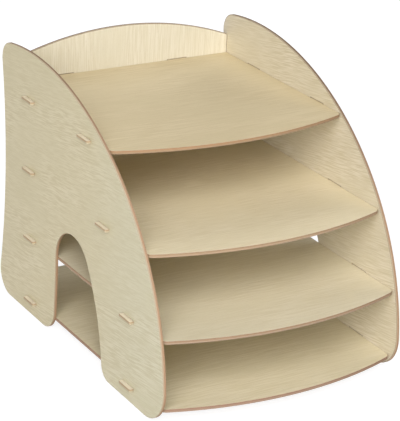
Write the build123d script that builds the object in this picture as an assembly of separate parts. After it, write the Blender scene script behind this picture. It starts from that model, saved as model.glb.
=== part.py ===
from build123d import *
import math
import os

# Letter tray stack for A4 papers, made of thin plywood sheets that slot together.
# Two curved side panels carry four bow-fronted shelves on tabs, and a low arched gallery
# closes the back of the top shelf.  Nothing is screwed or hinged.
#
# Millimetres.  X runs to the right, Y to the back, Z up.  While the sheets are laid out, Y = 0 is
# the rear face of the gallery.  The finished stack is then centred over the origin, on the floor.

# --- Sheet and fits ---
ply = 3.0                      # thickness of every sheet
slot_clearance = 0.15          # gap between a tab and each side of its slot

# --- Side panels ---
inner_width = 240.0            # clear width between the two side panels
crown_height = 260.5           # highest point of the curved edge
crown_inset = 55.0             # from the rear of the gallery forward to the crown
curve_reach = 264.0            # from the crown forward to the foremost point of the curved edge
curve_base_height = 19.0       # height at which the curved edge stands upright
back_radius = 625.0            # hollow of the back edge
waist_height = 141.0           # height at which the back edge is furthest forward
waist_inset = 2.8              # from the rear of the gallery to that point
toe_round = 32.0               # lower front corner
heel_round = 22.0              # lower back corner
shoulder_round = 18.0          # upper back corner

# --- Arch cut out of each side panel, between the front foot and the back foot ---
arch_back_inset = 108.0        # from the rear of the gallery to the back foot's front corner
arch_span = 99.0               # along the floor, from foot to foot
arch_crown_radius = 34.0       # round top of the arch
arch_crown_height = 114.0      # top of the arch above the floor
arch_splay = 4.0               # how far the back side leans out on its way to the floor
arch_lean = 33.0               # degrees off upright where the round top runs into the front side
front_foot_round = 14.0        # arch corner of the front foot
back_foot_round = 22.0         # arch corner of the back foot

# --- Shelves ---
bottom_level = 12.5            # underside of each shelf above the floor
lower_level = 76.3
upper_level = 143.8
top_level = 213.0
shelf_overhang = 19.0          # middle of the bow in front of the side panels' edge
bow_radius = 345.0             # front edge seen from above
shelf_corner_round = 8.0       # front corners, where the shelf meets the side panels

# --- Tabs ---
tab_width = 20.5
tab_reach = 4.0                # how far a tab stands out past the sheet that it passes through
tab_round = 1.5                # outer corners of a tab
bottom_front_tab_inset = 76.0  # from the middle of the bow back to the middle of the front tab
lower_front_tab_inset = 77.0
upper_front_tab_inset = 94.5
top_front_tab_inset = 62.0
bottom_back_tab_inset = 59.0   # from the shelf's back edge forward to the middle of the back tab
lower_back_tab_inset = 57.5
upper_back_tab_inset = 53.5
top_back_tab_inset = 52.0
gallery_tab_spacing = 125.0    # between the middles of the two tabs that hold the gallery

# --- Gallery ---
gallery_crown_drop = 3.0       # middle of the arched top edge below the side panels' crown
gallery_crown_radius = 330.0
gallery_skirt = 13.0           # how far it hangs below the top shelf
gallery_corner_round = 4.0     # its two lower corners

# --- Worked out from the above ---
half_width = inner_width / 2
shelf_back_y = -ply                               # shelves end at the gallery's front face
curve_rise = crown_height - curve_base_height     # half height of the ellipse of the curved edge
gallery_crown_height = crown_height - gallery_crown_drop
slot_cut = 2 * ply                                # long enough to cut through one sheet
slot_width = tab_width + 2 * slot_clearance
slot_height = ply + 2 * slot_clearance


def curve_front_y(height):
    """Foremost Y of a side panel at a height, on the ellipse or on the toe's round below it."""
    level = max(height, toe_round)
    lift = (level - curve_base_height) / curve_rise
    front = -crown_inset - curve_reach * math.sqrt(max(0.0, 1 - lift**2))
    drop = level - height
    return front + toe_round - math.sqrt(toe_round**2 - drop**2)


def corner(solid, direction, point):
    """The straight edge of a sheet, across its thickness, that is nearest to a point."""
    return solid.edges().filter_by(direction).sort_by_distance(point)[0]


# ---------------------------------------------------------------------------------------------
# Shelves: a sheet with a bowed front and two tabs on each side
# ---------------------------------------------------------------------------------------------
class Shelf:
    """Where one shelf lies: its level, the middle of its bow and its tabs along the depth."""

    def __init__(self, level, front_tab_inset, back_tab_inset):
        self.level = level
        self.bow_y = curve_front_y(level + ply / 2) - shelf_overhang
        self.tab_ys = (self.bow_y + front_tab_inset, shelf_back_y - back_tab_inset)

    def sheet(self):
        """The shelf with its side tabs, lying on its level."""
        bow_sag = bow_radius - math.sqrt(bow_radius**2 - half_width**2)
        corner_y = self.bow_y + bow_sag
        outline = [
            Line((-half_width, corner_y), (-half_width, shelf_back_y)),
            Line((-half_width, shelf_back_y), (half_width, shelf_back_y)),
            Line((half_width, shelf_back_y), (half_width, corner_y)),
            ThreePointArc((half_width, corner_y), (0, self.bow_y), (-half_width, corner_y)),
        ]
        blank = extrude(make_face(outline), ply)
        ends = [corner(blank, Axis.Z, (side * half_width, corner_y, 0)) for side in (-1, 1)]
        blank = fillet(ends, min(shelf_corner_round, self.tab_ys[0] - tab_width / 2 - corner_y))
        for side in (-1, 1):
            for tab_y in self.tab_ys:
                tongue = RectangleRounded(2 * (ply + tab_reach), tab_width, tab_round)
                blank += extrude(Pos(side * half_width, tab_y) * tongue, ply)
        return Pos(0, 0, self.level) * blank


bottom_shelf = Shelf(bottom_level, bottom_front_tab_inset, bottom_back_tab_inset)
lower_shelf = Shelf(lower_level, lower_front_tab_inset, lower_back_tab_inset)
upper_shelf = Shelf(upper_level, upper_front_tab_inset, upper_back_tab_inset)
top_shelf = Shelf(top_level, top_front_tab_inset, top_back_tab_inset)
gallery_tab_xs = (-gallery_tab_spacing / 2, gallery_tab_spacing / 2)


def top_shelf_sheet():
    """The top shelf, which also has two tabs at the back that hold the gallery."""
    sheet = top_shelf.sheet()
    for tab_x in gallery_tab_xs:
        tongue = RectangleRounded(tab_width, 2 * (ply + tab_reach), tab_round)
        sheet += Pos(0, 0, top_level) * extrude(Pos(tab_x, shelf_back_y) * tongue, ply)
    return sheet


# ---------------------------------------------------------------------------------------------
# Side panels: an elliptical front and top, a hollow back, an arch between two feet and four
# pairs of slots for the shelves' tabs
# ---------------------------------------------------------------------------------------------
def arch_outline():
    """The arch: a round top that runs on, without a kink, into a long curve on each side."""
    back_side_y = -arch_back_inset - arch_splay
    centre = (back_side_y - arch_crown_radius, arch_crown_height - arch_crown_radius)
    crown = CenterArc(centre, arch_crown_radius, 0, 180 - arch_lean)
    front_side = TangentArc(crown @ 1, (-arch_back_inset - arch_span, 0), tangent=crown % 1)
    back_side = TangentArc(crown @ 0, (-arch_back_inset, 0), tangent=(0, -1))
    floor = Line(front_side @ 1, back_side @ 1)
    return make_face([crown, front_side, floor, back_side])


def side_panel(inner_x, outward):
    """One side panel, whose inner face is at inner_x and whose outer face is outward of it."""
    ellipse = Pos(-crown_inset, curve_base_height) * Ellipse(curve_reach, curve_rise)
    hollow = Pos(back_radius - waist_inset, waist_height) * Circle(back_radius)
    under = Rectangle(2 * curve_reach, curve_rise, align=(Align.CENTER, Align.MAX))
    outline = ellipse - hollow - Pos(-crown_inset, 0) * under - arch_outline()
    panel = extrude(Plane.YZ * outline, ply)

    toe_y = curve_front_y(toe_round)
    front_foot_y = -arch_back_inset - arch_span
    foot_length = front_foot_y - toe_y
    rounds = (
        ((0, toe_y, 0), min(toe_round, foot_length / 2)),
        ((0, front_foot_y, 0), min(front_foot_round, foot_length / 3)),
        ((0, -arch_back_inset, 0), back_foot_round),
        ((0, 0, 0), heel_round),
        ((0, 0, crown_height), shoulder_round),
    )
    for point, radius in rounds:
        panel = fillet(corner(panel, Axis.X, point), radius)

    for shelf in (bottom_shelf, lower_shelf, upper_shelf, top_shelf):
        for tab_y in shelf.tab_ys:
            slot = Box(slot_cut, slot_width, slot_height)
            panel -= Pos(ply / 2, tab_y, shelf.level + ply / 2) * slot
    return Pos(inner_x if outward > 0 else inner_x - ply, 0, 0) * panel


# ---------------------------------------------------------------------------------------------
# Gallery: a low upright sheet between the side panels, with an arched top edge
# ---------------------------------------------------------------------------------------------
def gallery_panel():
    sag = gallery_crown_radius - math.sqrt(gallery_crown_radius**2 - half_width**2)
    foot_z = top_level - gallery_skirt
    end_z = gallery_crown_height - sag
    outline = [
        Line((-half_width, end_z), (-half_width, foot_z)),
        Line((-half_width, foot_z), (half_width, foot_z)),
        Line((half_width, foot_z), (half_width, end_z)),
        ThreePointArc((half_width, end_z), (0, gallery_crown_height), (-half_width, end_z)),
    ]
    panel = extrude(Plane.XZ * make_face(outline), ply)
    feet = [corner(panel, Axis.Y, (side * half_width, 0, foot_z)) for side in (-1, 1)]
    panel = fillet(feet, gallery_corner_round)
    for tab_x in gallery_tab_xs:
        slot = Box(slot_width, slot_cut, slot_height)
        panel -= Pos(tab_x, shelf_back_y + ply / 2, top_level + ply / 2) * slot
    return panel


# ---------------------------------------------------------------------------------------------
# The finished stack, centred over the origin
# ---------------------------------------------------------------------------------------------
pieces = {
    "left_side_panel": side_panel(-half_width, -1),
    "right_side_panel": side_panel(half_width, 1),
    "gallery_panel": gallery_panel(),
    "top_shelf": top_shelf_sheet(),
    "upper_shelf": upper_shelf.sheet(),
    "lower_shelf": lower_shelf.sheet(),
    "bottom_shelf": bottom_shelf.sheet(),
}

boxes = [piece.bounding_box() for piece in pieces.values()]
front_y = min(box.min.Y for box in boxes)
back_y = max(box.max.Y for box in boxes)
to_centre = Pos(0, -(front_y + back_y) / 2, 0)

os.makedirs("parts", exist_ok=True)
for node, piece in pieces.items():
    export_step(to_centre * piece, f"parts/{node}.step")
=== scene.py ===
import math

import bmesh
import bpy
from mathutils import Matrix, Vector


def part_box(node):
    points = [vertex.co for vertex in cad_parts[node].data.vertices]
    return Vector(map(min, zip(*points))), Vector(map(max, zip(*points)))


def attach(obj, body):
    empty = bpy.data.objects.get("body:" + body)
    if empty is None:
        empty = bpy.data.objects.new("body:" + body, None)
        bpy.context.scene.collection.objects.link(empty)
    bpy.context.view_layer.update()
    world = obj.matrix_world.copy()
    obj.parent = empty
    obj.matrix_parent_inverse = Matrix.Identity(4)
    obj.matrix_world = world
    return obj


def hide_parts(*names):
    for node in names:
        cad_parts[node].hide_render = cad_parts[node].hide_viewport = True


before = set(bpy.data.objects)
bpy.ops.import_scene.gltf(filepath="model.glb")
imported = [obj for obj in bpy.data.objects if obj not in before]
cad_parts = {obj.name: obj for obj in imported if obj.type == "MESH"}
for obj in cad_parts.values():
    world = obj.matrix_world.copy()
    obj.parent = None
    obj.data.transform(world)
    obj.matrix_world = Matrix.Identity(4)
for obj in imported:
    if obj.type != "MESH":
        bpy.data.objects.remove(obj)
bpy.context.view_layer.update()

# ---------------------------------------------------------------------------------------------
# Left side panel
# A sheet of birch plywood, cut by laser to its curved outline with an arch between two feet.
# Its face grain runs from front to back, and the tabs of the four shelves come out through it.
# ---------------------------------------------------------------------------------------------
ply = 0.003                         # thickness of every sheet
arris = 0.00025                     # the cut corners are sanded this round
smoke_width = 0.0010                # how far the laser's smoke stained the face beside a cut
weld = 1e-6                         # triangles are joined where their corners are this close
same_plane = math.radians(0.3)      # triangles that turn less than this are one flat face
smooth_turn = math.radians(35)      # edges that turn less than this are shaded smooth
cut_lean = 0.1                      # the normal of a cut edge leans less than this through the sheet,
face_lean = 0.9                     # that of a face leans more than this,
flat_lean = 0.999                   # and that of a face inside its sanded corners more than this


def finished_sheet(node, through):
    """A cut sheet with sanded corners. Through is the axis of its thickness: 0 for X, 1 for Y, 2 for Z.
    The point attribute "cut" is 1 on its cut edges and fades to 0 on its faces."""
    sheet = bpy.data.objects.new(node + "_sheet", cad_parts[node].data.copy())
    bpy.context.collection.objects.link(sheet)
    bpy.ops.object.select_all(action="DESELECT")
    sheet.select_set(True)
    bpy.context.view_layer.objects.active = sheet
    bpy.ops.mesh.customdata_custom_splitnormals_clear()
    bpy.ops.object.mode_set(mode="EDIT")
    bpy.ops.mesh.select_all(action="SELECT")
    bpy.ops.mesh.remove_doubles(threshold=weld)
    bpy.ops.mesh.dissolve_limited(angle_limit=same_plane)

    # The corners between the two faces and the cut edge are rounded.
    bpy.ops.mesh.select_all(action="DESELECT")
    bpy.ops.mesh.select_mode(type="EDGE")
    mesh = bmesh.from_edit_mesh(sheet.data)
    for edge in mesh.edges:
        if len(edge.link_faces) == 2:
            less, more = sorted(abs(face.normal[through]) for face in edge.link_faces)
            edge.select_set(less < cut_lean and more > face_lean)
    bmesh.update_edit_mesh(sheet.data)
    bpy.ops.mesh.bevel(offset=arris, segments=3, profile=0.5, affect="EDGES")

    # The two faces get a narrow border for the smoke stain.
    bpy.ops.mesh.select_all(action="DESELECT")
    bpy.ops.mesh.select_mode(type="FACE")
    mesh = bmesh.from_edit_mesh(sheet.data)
    for face in mesh.faces:
        face.select_set(abs(face.normal[through]) > flat_lean)
        face.material_index = 0 if face.select else 1
    bmesh.update_edit_mesh(sheet.data)
    bpy.ops.mesh.inset(thickness=smoke_width, use_boundary=True, use_even_offset=True)
    mesh = bmesh.from_edit_mesh(sheet.data)
    clean = {vert.index for vert in mesh.verts if vert.select}
    bpy.ops.object.mode_set(mode="OBJECT")
    cut = sheet.data.attributes.new("cut", "FLOAT", "POINT")
    cut.data.foreach_set("value", [0.0 if i in clean else 1.0 for i in range(len(sheet.data.vertices))])
    bpy.ops.object.shade_smooth_by_angle(angle=smooth_turn)
    return sheet


def new_group(name, inputs, outputs):
    """An empty node group that takes a Vector and the named values and puts out the named values.
    Returns the tree, its input node and its output node."""
    tree = bpy.data.node_groups.new(name, "ShaderNodeTree")
    tree.interface.new_socket(name="Vector", in_out="INPUT", socket_type="NodeSocketVector")
    for socket in inputs:
        tree.interface.new_socket(name=socket, in_out="INPUT", socket_type="NodeSocketFloat")
    for socket in outputs:
        tree.interface.new_socket(name=socket, in_out="OUTPUT", socket_type="NodeSocketFloat")
    return tree, tree.nodes.new("NodeGroupInput"), tree.nodes.new("NodeGroupOutput")


def add_node(tree, kind, values=None, **settings):
    """One node with its settings and the values of its unlinked inputs."""
    node = tree.nodes.new(kind)
    for key, value in settings.items():
        setattr(node, key, value)
    for key, value in (values or {}).items():
        node.inputs[key].default_value = value
    return node


def feed(tree, term, socket):
    """Gives a socket its term: a number or a colour is set, and another node's output is linked."""
    if isinstance(term, (int, float)):
        socket.default_value = term
    elif isinstance(term, tuple):
        socket.default_value = (*term, 1.0)
    else:
        tree.links.new(term, socket)


def maths(tree, operation, first, second=0.5, third=0.5, clamp=False):
    """A Math node. Each of its terms is a number or a socket. Returns its output."""
    node = add_node(tree, "ShaderNodeMath", operation=operation, use_clamp=clamp)
    for place, term in enumerate((first, second, third)):
        feed(tree, term, node.inputs[place])
    return node.outputs[0]


def vector_maths(tree, operation, first, second):
    """A Vector Math node. Its first term is a socket, and its second is three numbers or a socket."""
    node = add_node(tree, "ShaderNodeVectorMath", operation=operation)
    tree.links.new(first, node.inputs[0])
    if isinstance(second, tuple):
        node.inputs[1].default_value = second
    else:
        tree.links.new(second, node.inputs[1])
    return node.outputs[0]


def blend_colour(tree, share, first, second, mode="MIX"):
    """A colour Mix node. The share and both colours are values or sockets. Returns its output."""
    node = add_node(tree, "ShaderNodeMix", data_type="RGBA", blend_type=mode, clamp_factor=True)
    for place, term in ((0, share), (6, first), (7, second)):      # its factor and its two colours
        feed(tree, term, node.inputs[place])
    return node.outputs[2]


def ramp(tree, value, low, high):
    """0 below low and 1 above high, with a smooth step between. Low and high are numbers or sockets."""
    step = add_node(tree, "ShaderNodeMapRange", interpolation_type="SMOOTHSTEP")
    for socket, term in (("Value", value), ("From Min", low), ("From Max", high)):
        feed(tree, term, step.inputs[socket])
    return step.outputs["Result"]


def noise(tree, vector, scale, detail, roughness=0.5):
    """A Noise node, whose blotches are about 1 / scale across. Returns its outputs."""
    values = {"Scale": scale, "Detail": detail, "Roughness": roughness}
    node = add_node(tree, "ShaderNodeTexNoise", values)
    tree.links.new(vector, node.inputs["Vector"])
    return node.outputs


def axes(tree, vector):
    """A vector's X, Y and Z as three outputs."""
    split = add_node(tree, "ShaderNodeSeparateXYZ")
    tree.links.new(vector, split.inputs[0])
    return split.outputs


streak_depth = 0.0015    # how far a streak of the grain runs into the sheet


def streaks(tree, vector, length, spacing, detail):
    """Noise that is drawn out along the grain: length along it, spacing across it, in metres."""
    drawn_out = vector_maths(tree, "MULTIPLY", vector, (1 / length, 1 / spacing, 1 / streak_depth))
    return noise(tree, drawn_out, scale=1.0, detail=detail, roughness=0.55)["Fac"]


# Birch veneer: fine fibres, short wavy ripples of the figure, tiny dark flecks and broad pale clouds.
sway_width = 0.004       # how far the grain wanders to one side and the other
noise_low = 0.36         # nearly all of a noise lies between these two
noise_high = 0.64
least_ripple = 0.40      # strength of the ripples between the patches that they are strongest in
patch_ripple = 0.55      # and what those patches add to it
fleck_from = 0.70        # only the peaks of the noise are flecks
fleck_full = 0.80
fibre_relief = 0.6       # the fibres stand up and the flecks are pits
fleck_relief = 0.5
veneer, given, out = new_group(
    "birch_veneer",
    inputs=("Ripple", "Fibre"),
    outputs=("Ripple", "Fibre", "Fleck", "Cloud", "Height"),
)
sway = noise(veneer, given.outputs["Vector"], scale=18.0, detail=1.0)["Color"]
sway = vector_maths(veneer, "SUBTRACT", sway, (0.5, 0.5, 0.5))      # to both sides of 0
sway = vector_maths(veneer, "MULTIPLY", sway, (0.0, sway_width, 0.0))
wavy = vector_maths(veneer, "ADD", given.outputs["Vector"], sway)
patches = streaks(veneer, wavy, length=0.110, spacing=0.045, detail=1.0)
patches = ramp(veneer, patches, noise_low, noise_high)
contrast = maths(veneer, "MULTIPLY_ADD", patches, patch_ripple, least_ripple)
contrast = maths(veneer, "MULTIPLY", contrast, given.outputs["Ripple"])
ripple = streaks(veneer, wavy, length=0.026, spacing=0.0011, detail=1.5)
ripple = maths(veneer, "SUBTRACT", ramp(veneer, ripple, noise_low, noise_high), 0.5)
ripple = maths(veneer, "MULTIPLY_ADD", ripple, contrast, 0.5, clamp=True)
fibre = streaks(veneer, wavy, length=0.030, spacing=0.0007, detail=3.0)
fibre = maths(veneer, "MULTIPLY", fibre, given.outputs["Fibre"])
fleck = streaks(veneer, wavy, length=0.0035, spacing=0.0004, detail=0.0)
fleck = ramp(veneer, fleck, fleck_from, fleck_full)
cloud = streaks(veneer, given.outputs["Vector"], length=0.110, spacing=0.045, detail=2.0)
raised = maths(veneer, "MULTIPLY", fibre, fibre_relief)
height = maths(veneer, "SUBTRACT", raised, maths(veneer, "MULTIPLY", fleck, fleck_relief))
results = {"Ripple": ripple, "Fibre": fibre, "Fleck": fleck, "Cloud": cloud, "Height": height}
for socket, value in results.items():
    veneer.links.new(value, out.inputs[socket])

# Smoke stain beside a cut: a thin burnt line at the cut, then a faint haze that ends at the border's inner
# line. One face of a sheet took more smoke than the other.
haze_fade = 1.6          # how fast the haze thins out
haze_strength = 0.25     # at the cut
line_from = 0.45         # the line ends where "cut" has fallen to this,
line_full = 0.80         # and is at its darkest as far as this
line_strength = 0.75
drift_least = 0.7        # the stain comes and goes along the cut: this is its least strength,
drift_more = 0.6         # and this much more is its most
low_side = 0.4 * ply     # one face takes over from the other inside the sheet
high_side = 0.6 * ply
smoke, given, out = new_group("smoke_stain", inputs=("Cut", "Low face", "High face"), outputs=("Stain",))
haze = maths(smoke, "MULTIPLY", maths(smoke, "POWER", given.outputs["Cut"], haze_fade), haze_strength)
line = maths(smoke, "MULTIPLY", ramp(smoke, given.outputs["Cut"], line_from, line_full), line_strength)
drift = noise(smoke, given.outputs["Vector"], scale=260.0, detail=2.0)["Fac"]
drift = maths(smoke, "MULTIPLY_ADD", drift, drift_more, drift_least)
reach = maths(smoke, "MULTIPLY", maths(smoke, "ADD", haze, line), drift)
high = ramp(smoke, axes(smoke, given.outputs["Vector"])["Z"], low_side, high_side)
low = maths(smoke, "SUBTRACT", 1.0, high)
low = maths(smoke, "MULTIPLY", low, given.outputs["Low face"])
high = maths(smoke, "MULTIPLY", high, given.outputs["High face"])
stain = maths(smoke, "MULTIPLY", reach, maths(smoke, "ADD", low, high), clamp=True)
smoke.links.new(stain, out.inputs["Stain"])

# Cut edge: three plies, two dark glue lines, the fine marks that the laser left across them, and the side of
# the edge that it burnt, which is from half to four fifths of the thickness.
waver_width = 0.16       # shares of the sheet's thickness: how far the plies wander,
glue_line = 0.17         # from the middle to a glue line,
core_blend = 0.02        # how softly the core ends at it,
glue_dark = 0.012        # how far the line is quite dark to both sides,
glue_end = 0.035         # and where it has ended
mark_stretch = 0.12      # the marks are drawn out across the edge
plies, given, out = new_group(
    "cut_plies",
    inputs=("Burnt from", "Burnt to"),
    outputs=("Core", "Glue", "Burnt", "Marks"),
)
waver = noise(plies, given.outputs["Vector"], scale=90.0, detail=1.0)["Fac"]
waver = maths(plies, "MULTIPLY_ADD", waver, waver_width, -waver_width / 2)
level = maths(plies, "DIVIDE", axes(plies, given.outputs["Vector"])["Z"], ply)
level = maths(plies, "ADD", level, waver)
from_middle = maths(plies, "ABSOLUTE", maths(plies, "SUBTRACT", level, 0.5))
core = ramp(plies, from_middle, glue_line - core_blend, glue_line + core_blend)
core = maths(plies, "SUBTRACT", 1.0, core)
from_glue = maths(plies, "ABSOLUTE", maths(plies, "SUBTRACT", from_middle, glue_line))
glue = maths(plies, "SUBTRACT", 1.0, ramp(plies, from_glue, glue_dark, glue_end))
burnt = ramp(plies, level, given.outputs["Burnt from"], given.outputs["Burnt to"])
marks = vector_maths(plies, "MULTIPLY", given.outputs["Vector"], (1.0, 1.0, mark_stretch))
marks = noise(plies, marks, scale=1500.0, detail=2.0)["Fac"]
for socket, value in (("Core", core), ("Glue", glue), ("Burnt", burnt), ("Marks", marks)):
    plies.links.new(value, out.inputs[socket])


def sheet_coordinates(tree, grain, face, slant=0.0):
    """Object coordinates turned so that X runs along the grain, Y across it, and Z through the sheet from 0
    at one face. Slant turns the grain in the sheet's own plane."""
    where = add_node(tree, "ShaderNodeTexCoord")
    turned = add_node(tree, "ShaderNodeMapping", {"Rotation": grain})
    moved = add_node(tree, "ShaderNodeMapping", {"Rotation": (0, 0, slant), "Location": (0, 0, -face)})
    tree.links.new(where.outputs["Object"], turned.inputs["Vector"])
    tree.links.new(turned.outputs["Vector"], moved.inputs["Vector"])
    return moved.outputs["Vector"]


def new_material(name):
    """An empty material. Returns it, its node tree and its shader."""
    material = bpy.data.materials.new(name)
    material.use_nodes = True
    tree = material.node_tree
    tree.nodes.clear()
    shader = tree.nodes.new("ShaderNodeBsdfPrincipled")
    surface = tree.nodes.new("ShaderNodeOutputMaterial")
    tree.links.new(shader.outputs["BSDF"], surface.inputs["Surface"])
    return material, tree, shader


def tinted(colour, factors):
    """A colour with its red, green and blue each made darker or lighter."""
    return tuple(channel * factor for channel, factor in zip(colour, factors))


# The veneer's colour is multiplied by these.
cloud_darker = (0.975, 0.985, 0.96)
cloud_lighter = (1.045, 1.04, 1.07)
fibre_darker = (0.80, 0.77, 0.68)
ripple_darker = (0.885, 0.85, 0.76)
ripple_lighter = (1.11, 1.11, 1.16)
fleck_darker = (0.57, 0.47, 0.38)

fibre_share = 0.16       # how much of the fibres' darker colour shows, and of the flecks'
fleck_share = 0.25
smoke_brown = (0.150, 0.085, 0.040)
sheen_roughness = 0.36   # between the fibres
fibre_roughness = 0.10   # what the fibres add to it


def veneer_finish(name, grain, face, offset, tone, ripple, smoked, fibre=1.0, slant=0.0, long=1.0, coarse=1.0,
                  changes=()):
    """The smooth faces of one sheet, with a slight sheen.
    Tone is the veneer's colour, ripple and fibre are how strong its figure is, and smoked is how stained its
    two faces are, the one at 0 first. Offset moves the figure, slant turns it, and long and coarse stretch it
    along and across the grain. Each of the changes is a mask, a colour, and how that colour is laid on."""
    material, tree, shader = new_material(name)
    vector = sheet_coordinates(tree, grain, face, slant)

    # No two sheets were cut from the same piece of veneer.
    pattern = add_node(tree, "ShaderNodeMapping", {"Location": offset, "Scale": (1 / long, 1 / coarse, 1)})
    figure = add_node(tree, "ShaderNodeGroup", {"Ripple": ripple, "Fibre": fibre}, node_tree=veneer)
    tree.links.new(vector, pattern.inputs["Vector"])
    tree.links.new(pattern.outputs["Vector"], figure.inputs["Vector"])
    low_face, high_face = smoked
    cut = add_node(tree, "ShaderNodeAttribute", attribute_name="cut")
    stain = add_node(tree, "ShaderNodeGroup", {"Low face": low_face, "High face": high_face}, node_tree=smoke)
    tree.links.new(vector, stain.inputs["Vector"])
    tree.links.new(cut.outputs["Fac"], stain.inputs["Cut"])

    fibres = maths(tree, "MULTIPLY", figure.outputs["Fibre"], fibre_share)
    flecks = maths(tree, "MULTIPLY", figure.outputs["Fleck"], fleck_share)
    ripples = blend_colour(tree, figure.outputs["Ripple"], ripple_lighter, ripple_darker)
    clouds = (tinted(tone, cloud_darker), tinted(tone, cloud_lighter))
    colour = blend_colour(tree, figure.outputs["Cloud"], *clouds)
    colour = blend_colour(tree, fibres, colour, tinted(tone, fibre_darker))
    colour = blend_colour(tree, 1.0, colour, ripples, mode="MULTIPLY")
    colour = blend_colour(tree, flecks, colour, tinted(tone, fleck_darker))
    for mask, change, mode in changes:
        colour = blend_colour(tree, mask(tree), colour, change, mode=mode)
    colour = blend_colour(tree, stain.outputs["Stain"], colour, smoke_brown)
    roughness = maths(tree, "MULTIPLY_ADD", figure.outputs["Fibre"], fibre_roughness, sheen_roughness)
    bump = add_node(tree, "ShaderNodeBump", {"Strength": 0.25, "Distance": 0.00015})
    tree.links.new(colour, shader.inputs["Base Color"])
    tree.links.new(roughness, shader.inputs["Roughness"])
    tree.links.new(figure.outputs["Height"], bump.inputs["Height"])
    tree.links.new(bump.outputs["Normal"], shader.inputs["Normal"])
    return material


charcoal = (0.130, 0.080, 0.040)
outer_ply_darker = (0.93, 0.93, 0.93)      # the pale colour is multiplied by this in the two outer plies,
mark_darker = (0.60, 0.60, 0.60)           # and the burnt colour by this in the marks
glue_share = 0.30                          # how much of the burnt colour shows in the glue lines
mark_share = 0.35                          # how much of the marks' darker colour shows
cut_roughness = 0.60                       # between the marks
mark_roughness = 0.20                      # what the marks add to it


def cut_finish(name, grain, face, pale, burnt, burnt_share, charred, changes=()):
    """The lasered edge of one sheet: pale on one side, burnt on the other.
    Burnt share is where one runs into the other, as shares of the thickness. Charred is how black the burnt
    side went, as a number or a mask. Each of the changes is a mask and the two colours that the sides take
    there."""
    material, tree, shader = new_material(name)
    burnt_from, burnt_to = burnt_share
    values = {"Burnt from": burnt_from, "Burnt to": burnt_to}
    layers = add_node(tree, "ShaderNodeGroup", values, node_tree=plies)
    tree.links.new(sheet_coordinates(tree, grain, face), layers.inputs["Vector"])

    glue_lines = maths(tree, "MULTIPLY", layers.outputs["Glue"], glue_share)
    laser_marks = maths(tree, "MULTIPLY", layers.outputs["Marks"], mark_share)
    clean_side = blend_colour(tree, layers.outputs["Core"], tinted(pale, outer_ply_darker), pale)
    clean_side = blend_colour(tree, glue_lines, clean_side, burnt)
    burnt_side = blend_colour(tree, charred(tree) if callable(charred) else charred, burnt, charcoal)
    burnt_side = blend_colour(tree, laser_marks, burnt_side, tinted(burnt, mark_darker))
    for mask, clean_change, burnt_change in changes:
        here = mask(tree)
        clean_side = blend_colour(tree, here, clean_side, clean_change)
        burnt_side = blend_colour(tree, here, burnt_side, burnt_change)
    colour = blend_colour(tree, layers.outputs["Burnt"], clean_side, burnt_side)
    roughness = maths(tree, "MULTIPLY_ADD", layers.outputs["Marks"], mark_roughness, cut_roughness)
    bump = add_node(tree, "ShaderNodeBump", {"Strength": 0.35, "Distance": 0.0001})
    tree.links.new(colour, shader.inputs["Base Color"])
    tree.links.new(roughness, shader.inputs["Roughness"])
    tree.links.new(layers.outputs["Marks"], bump.inputs["Height"])
    tree.links.new(bump.outputs["Normal"], shader.inputs["Normal"])
    return material


def dress(sheet, face_material, cut_material):
    """Face veneer in the first slot, cut edge in the second."""
    sheet.data.materials[0] = face_material
    sheet.data.materials.append(cut_material)


def place_in_stack(tree):
    """Where a point lies in the whole stack: its X, Y and Z outputs, in metres."""
    where = add_node(tree, "ShaderNodeTexCoord")
    return axes(tree, where.outputs["Object"])


def blacker_upwards(low, high, least, most):
    """The burnt side of the cut goes blacker higher up: from least at one height to most at another."""
    def charred(tree):
        upwards = ramp(tree, place_in_stack(tree)["Z"], low, high)
        return maths(tree, "MULTIPLY_ADD", upwards, most - least, least)
    return charred


def arch_shade(tree):
    """Painted shade on the edge of the arch between the two feet, darkened a quarter of the way."""
    middle = 0.0076                  # of the arch, along the depth
    half_span = (0.078, 0.084)       # from there to past the feet's round corners, ending softly
    top = (0.125, 0.135)             # above the arch's round top, ending softly
    share = 0.25
    place = place_in_stack(tree)
    from_middle = maths(tree, "ABSOLUTE", maths(tree, "SUBTRACT", place["Y"], middle))
    between = maths(tree, "SUBTRACT", 1.0, ramp(tree, from_middle, *half_span))
    below = maths(tree, "SUBTRACT", 1.0, ramp(tree, place["Z"], *top))
    return maths(tree, "MULTIPLY", maths(tree, "MULTIPLY", between, below), share)


def toward_front(tree):
    """0 as far as just behind the middle of the depth, rising to 1 near the front edge."""
    behind_middle = -0.02            # metres forward of the middle of the depth
    near_front = 0.12
    forward = maths(tree, "MULTIPLY", place_in_stack(tree)["Y"], -1.0)
    return ramp(tree, forward, behind_middle, near_front)


grain_front_to_back = (math.radians(-90), math.radians(-90), 0)
pale_edge = (0.500, 0.395, 0.280)
burnt_edge = (0.440, 0.280, 0.172)
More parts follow.
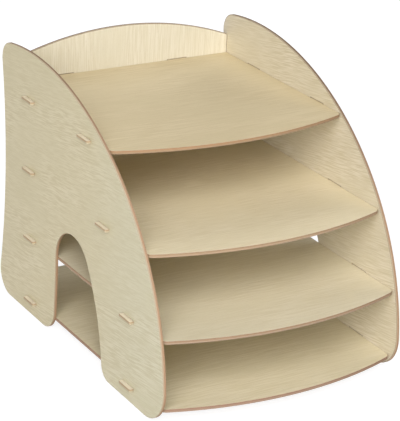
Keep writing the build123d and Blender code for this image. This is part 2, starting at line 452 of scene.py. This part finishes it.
# Painted shade: the brown that cut edges lying in shade are darkened toward
painted_edge_shade = (0.200, 0.120, 0.060)
cooler = (1.0, 1.045, 1.12)      # the veneer's colour is multiplied by this toward the front
left_outer_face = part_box("left_side_panel")[0].x
left_side = finished_sheet("left_side_panel", through=0)
dress(
    left_side,
    veneer_finish(
        "left_side_veneer",
        grain_front_to_back,
        face=left_outer_face,
        offset=(0.31, 0.07, 0.11),
        # Partly painted shade: this tone is darker than the right panel's, so the outer face reads dimmer
        # than the right panel's inner face.
        tone=(0.598, 0.550, 0.380),
        ripple=0.85,
        smoked=(0.06, 0.85),
        slant=math.radians(7),
        long=0.60,
        coarse=0.85,
        changes=((toward_front, cooler, "MULTIPLY"),),
    ),
    cut_finish(
        "left_side_cut",
        grain_front_to_back,
        face=left_outer_face,
        pale=pale_edge,
        burnt=burnt_edge,
        burnt_share=(0.30, 0.42),
        charred=blacker_upwards(low=0.18, high=0.26, least=0.0, most=0.60),
        # painted shade on the arch's edge
        changes=((arch_shade, painted_edge_shade, painted_edge_shade),),
    ),
)
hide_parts("left_side_panel")
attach(left_side, "root")

# ---------------------------------------------------------------------------------------------
# Right side panel
# The mirror image of the left one, lasered from another part of the birch plywood.
# The other ends of the four shelves come out through its slots and hold it upright.
# ---------------------------------------------------------------------------------------------
right_inner_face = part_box("right_side_panel")[0].x
right_side = finished_sheet("right_side_panel", through=0)
dress(
    right_side,
    veneer_finish(
        "right_side_veneer",
        grain_front_to_back,
        face=right_inner_face,
        offset=(0.83, 0.41, 0.57),
        # Partly painted light: this tone is lighter than the left panel's, for light bounced onto the inner
        # face.
        tone=(0.680, 0.620, 0.480),
        ripple=1.0,
        smoked=(0.85, 0.06),
        slant=math.radians(8),
        long=0.85,
    ),
    cut_finish(
        "right_side_cut",
        grain_front_to_back,
        face=right_inner_face,
        pale=pale_edge,
        burnt=burnt_edge,
        burnt_share=(0.18, 0.30),
        charred=blacker_upwards(low=0.12, high=0.25, least=0.15, most=0.85),
        # painted shade on the arch's edge
        changes=((arch_shade, painted_edge_shade, painted_edge_shade),),
    ),
)
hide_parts("right_side_panel")
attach(right_side, "root")

# ---------------------------------------------------------------------------------------------
# Gallery
# A low upright sheet of birch plywood, lasered with an arched top edge. Its grain stands upright,
# and the top shelf's two back tabs come through its slots and hold it.
# ---------------------------------------------------------------------------------------------
grain_upright = (math.radians(90), 0, math.radians(90))
gallery_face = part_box("gallery_panel")[0].y
gallery = finished_sheet("gallery_panel", through=1)
dress(
    gallery,
    veneer_finish(
        "gallery_veneer",
        grain_upright,
        face=gallery_face,
        offset=(0.13, 0.29, 0.47),
        tone=(0.745, 0.700, 0.565),
        ripple=0.5,
        smoked=(0.85, 0.08),
        fibre=1.3,
        coarse=0.75,
    ),
    cut_finish(
        "gallery_cut",
        grain_upright,
        face=gallery_face,
        pale=pale_edge,
        burnt=burnt_edge,
        burnt_share=(0.38, 0.50),
        charred=0.80,
    ),
)
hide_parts("gallery_panel")
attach(gallery, "root")

# ---------------------------------------------------------------------------------------------
# Shelves
# Four flat sheets of birch plywood with a bowed front edge. Two tabs on each side pass through the
# side panels, and the top shelf has two more at the back for the gallery. Their grain runs from
# side to side.
# ---------------------------------------------------------------------------------------------
def on_tabs(tree):
    """1 on the tabs, whose faces and ends came out paler than the rest of the sheet."""
    into_slot = (0.0005, 0.0020)     # how far into its slot a tab begins to turn pale, and is fully pale
    place = place_in_stack(tree)
    beside = [right_inner_face + depth for depth in into_slot]
    behind = [gallery_face + depth for depth in into_slot]
    side_tabs = ramp(tree, maths(tree, "ABSOLUTE", place["X"]), *beside)
    back_tabs = ramp(tree, place["Y"], *behind)
    return maths(tree, "MAXIMUM", side_tabs, back_tabs)


def right_end_shade(tree):
    """Painted shade on the right half of the bowed front, darkened more toward the right end, up to a third
    of the way.
    """
    middle = 0.0
    right_end = 0.12
    share = 0.33
    return maths(tree, "MULTIPLY", ramp(tree, place_in_stack(tree)["X"], middle, right_end), share)


grain_side_to_side = (0, 0, 0)
tab_face = (0.780, 0.695, 0.540)
tab_clean_side = (0.520, 0.460, 0.325)
tab_burnt_side = (0.430, 0.320, 0.205)
for shelf, offset, tone, pale, burnt in (
    # The top shelf's tone is darker and warmer than the other shelves', partly painted shade.
    ("top_shelf", (0.17, 0.63, 0.05), (0.670, 0.570, 0.370), (0.400, 0.280, 0.175), (0.420, 0.250, 0.135)),
    ("upper_shelf", (0.59, 0.21, 0.33), (0.770, 0.690, 0.495), (0.480, 0.350, 0.240), (0.400, 0.270, 0.165)),
    ("lower_shelf", (0.91, 0.77, 0.61), (0.745, 0.685, 0.520), (0.440, 0.325, 0.235), (0.370, 0.240, 0.150)),
    ("bottom_shelf", (0.43, 0.97, 0.79), (0.730, 0.665, 0.485), (0.400, 0.275, 0.200), (0.370, 0.225, 0.155)),
):
    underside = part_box(shelf)[0].z
    sheet = finished_sheet(shelf, through=2)
    dress(
        sheet,
        veneer_finish(
            shelf + "_veneer",
            grain_side_to_side,
            face=underside,
            offset=offset,
            tone=tone,
            ripple=0.6,
            smoked=(0.40, 0.10),
            coarse=0.9,
            changes=((on_tabs, tab_face, "MIX"),),
        ),
        cut_finish(
            shelf + "_cut",
            grain_side_to_side,
            face=underside,
            pale=pale,
            burnt=burnt,
            burnt_share=(0.42, 0.56),
            charred=0.05,
            # painted shade toward the right end of the bowed front, and the paler tabs
            changes=((right_end_shade, painted_edge_shade, painted_edge_shade), (on_tabs, tab_clean_side, tab_burnt_side)),
        ),
    )
    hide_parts(shelf)
    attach(sheet, "root")

# ---------------------------------------------------------------------------------------------
# Floor, light and camera
# A white studio floor that runs out of view, three softboxes above the front left, a fourth on
# the right and a fifth behind, and faint warm light from all round.
# ---------------------------------------------------------------------------------------------
floor_size = 24          # it runs out of view on all sides
floor_drop = 0.0003      # and lies just below the feet, so that no two faces are in one plane
bpy.ops.object.select_all(action="DESELECT")
bpy.ops.mesh.primitive_plane_add(size=floor_size, location=(0, 0, -floor_drop))
floor = bpy.context.object
floor.name = "studio_floor"

# Seen straight or in a gloss, the paper glows white. The light that it throws back on the stack is weaker and
# warmer, and from below the floor is clear.
material, tree, shader = new_material("studio_floor")
tree.nodes.remove(shader)
surface = next(node for node in tree.nodes if node.type == "OUTPUT_MATERIAL")
paper = add_node(tree, "ShaderNodeBsdfDiffuse", {"Color": (0.26, 0.26, 0.26, 1)})
glow = add_node(tree, "ShaderNodeEmission", {"Color": (0.99, 0.99, 1.0, 1), "Strength": 0.87})
glowing_paper = add_node(tree, "ShaderNodeAddShader")
tree.links.new(paper.outputs[0], glowing_paper.inputs[0])
tree.links.new(glow.outputs[0], glowing_paper.inputs[1])
bounce = add_node(tree, "ShaderNodeBsdfDiffuse", {"Color": (0.68, 0.62, 0.54, 1)})
path = add_node(tree, "ShaderNodeLightPath")
mirrored = maths(tree, "MAXIMUM", path.outputs["Is Glossy Ray"], path.outputs["Is Transmission Ray"])
seen = maths(tree, "MAXIMUM", path.outputs["Is Camera Ray"], mirrored)
above = add_node(tree, "ShaderNodeMixShader")
tree.links.new(seen, above.inputs[0])
tree.links.new(bounce.outputs[0], above.inputs[1])
tree.links.new(glowing_paper.outputs[0], above.inputs[2])
underneath = add_node(tree, "ShaderNodeNewGeometry")
clear = add_node(tree, "ShaderNodeBsdfTransparent")
both_sides = add_node(tree, "ShaderNodeMixShader")
tree.links.new(underneath.outputs["Backfacing"], both_sides.inputs[0])
tree.links.new(above.outputs[0], both_sides.inputs[1])
tree.links.new(clear.outputs[0], both_sides.inputs[2])
tree.links.new(both_sides.outputs[0], surface.inputs["Surface"])
floor.data.materials.append(material)

# The air is white to the camera, and gives the stack a faint warm light.
world = bpy.data.worlds.new("studio_air")
bpy.context.scene.world = world
world.use_nodes = True
tree = world.node_tree
tree.nodes.clear()
surface = tree.nodes.new("ShaderNodeOutputWorld")
warm = add_node(tree, "ShaderNodeBackground", {"Color": (1.0, 0.92, 0.80, 1), "Strength": 0.10})
white = add_node(tree, "ShaderNodeBackground", {"Color": (1, 1, 1, 1), "Strength": 1.0})
path = add_node(tree, "ShaderNodeLightPath")
air = add_node(tree, "ShaderNodeMixShader")
tree.links.new(path.outputs["Is Camera Ray"], air.inputs[0])
tree.links.new(warm.outputs[0], air.inputs[1])
tree.links.new(white.outputs[0], air.inputs[2])
tree.links.new(air.outputs[0], surface.inputs["Surface"])

lamp_target = Vector((0, 0, 0.12))      # the middle of the stack
lamp_distance = 3.0


def soft_light(name, azimuth, elevation, size, power):
    """A square softbox that faces the stack. Azimuth is round to the right from straight in front, in
    degrees."""
    turn = math.radians(azimuth)
    lift = math.radians(elevation)
    away = Vector((math.sin(turn) * math.cos(lift), -math.cos(turn) * math.cos(lift), math.sin(lift)))
    lamp = bpy.data.lights.new(name, "AREA")
    lamp.shape = "SQUARE"
    lamp.size = size
    lamp.energy = power
    box = bpy.data.objects.new(name, lamp)
    bpy.context.collection.objects.link(box)
    box.location = lamp_target + lamp_distance * away
    box.rotation_euler = (-away).to_track_quat("-Z", "Y").to_euler()


soft_light("key_softbox", azimuth=-38, elevation=30, size=1.9, power=55)
soft_light("upper_softbox", azimuth=-12, elevation=45, size=1.9, power=38)
soft_light("low_softbox", azimuth=-52, elevation=15, size=1.6, power=28)
soft_light("right_softbox", azimuth=97, elevation=18, size=1.6, power=34)
soft_light("back_softbox", azimuth=170, elevation=52, size=1.6, power=18)

# The lens and the place of the photograph, as the fit of the camera gave them.
lens = bpy.data.cameras.new("camera")
lens.sensor_fit = "HORIZONTAL"
lens.sensor_width = 36.0
lens.lens = 169.494
lens.clip_start = 0.05
lens.clip_end = 60.0
camera = bpy.data.objects.new("camera", lens)
bpy.context.collection.objects.link(camera)
camera.location = (-0.838205, -1.379028, 0.781960)
camera.rotation_euler = (math.radians(67.7917), math.radians(-2.3350), math.radians(-30.3562))
bpy.context.scene.camera = camera
bpy.context.scene.view_settings.view_transform = "Standard"
